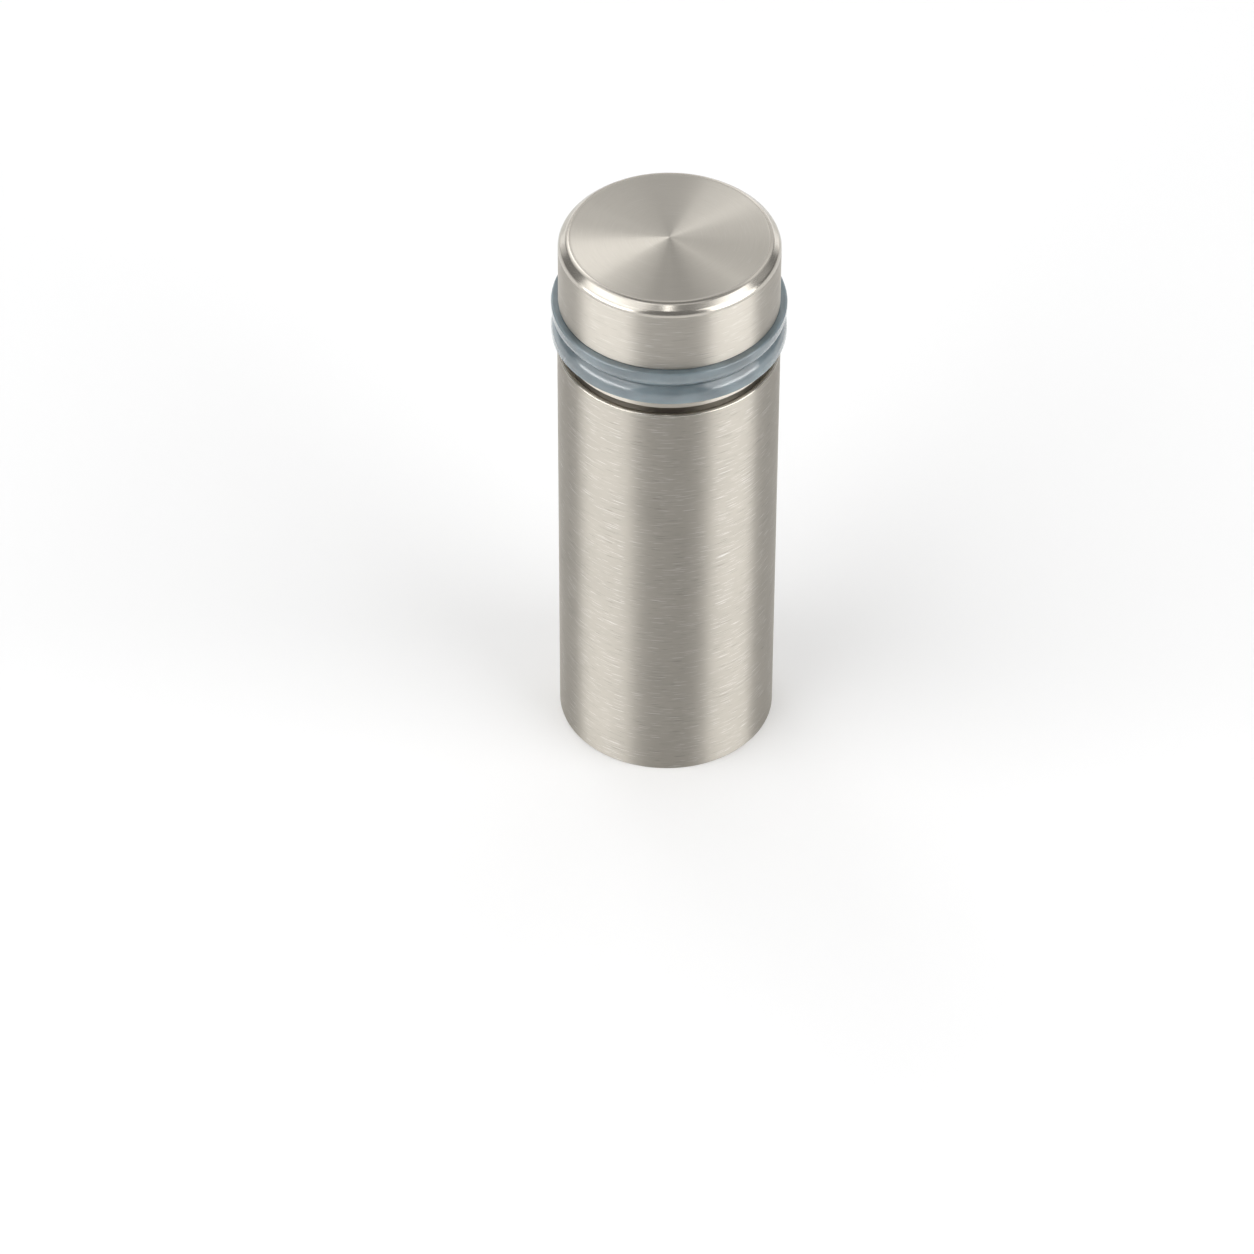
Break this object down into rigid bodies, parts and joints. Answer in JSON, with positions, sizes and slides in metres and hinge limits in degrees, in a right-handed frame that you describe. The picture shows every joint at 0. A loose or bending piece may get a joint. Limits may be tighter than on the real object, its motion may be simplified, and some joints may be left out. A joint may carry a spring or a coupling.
{
  "type": "glass panel standoff",
  "caption": "Round satin stainless standoff: tube barrel on a threaded wall base, two soft gaskets and a screw-on cap that clamp a glass panel off the wall.",
  "frame": {"origin": "centre of the barrel's lower end, on the plane that meets the wall", "axes": "+Z along the barrel, from the wall to the cap; the part is turned about Z"},
  "size_m": [0.04, 0.04, 0.1057],
  "materials": {
    "barrel_steel": "satin, fine hairlines around the tube",
    "cap_steel": "satin, turned face with fine rings",
    "turned_steel": "plain turned",
    "stud_steel": "rolled thread",
    "gasket_pvc": "soft, slightly glossy, blue-grey",
    "sleeve_nylon": "milky, smooth"
  },
  "bodies": {
    "base": {"barrel_tube": "barrel_steel", "base_plug": "turned_steel", "mouth_insert": "turned_steel", "lower_gasket": "gasket_pvc", "stud_sleeve": "sleeve_nylon"},
    "clamp_ring": {"upper_gasket": "gasket_pvc"},
    "cap": {"cap": "cap_steel", "stud": "stud_steel"}
  },
  "joints": [
    {"name": "cap_lift", "type": "slide", "parent": "base", "child": "clamp_ring", "axis": [0, 0, 1], "range_m": [0, 0.0195]},
    {"name": "cap_turn", "type": "hinge", "parent": "clamp_ring", "child": "cap", "pos_m": [0, 0, 0.0924], "axis": [0, 0, 1], "range_deg": [0, 4680]}
  ],
  "couplings": [
    {"joint": "cap_turn", "follows": "cap_lift", "rad_per_m": 4188.8}
  ]
}
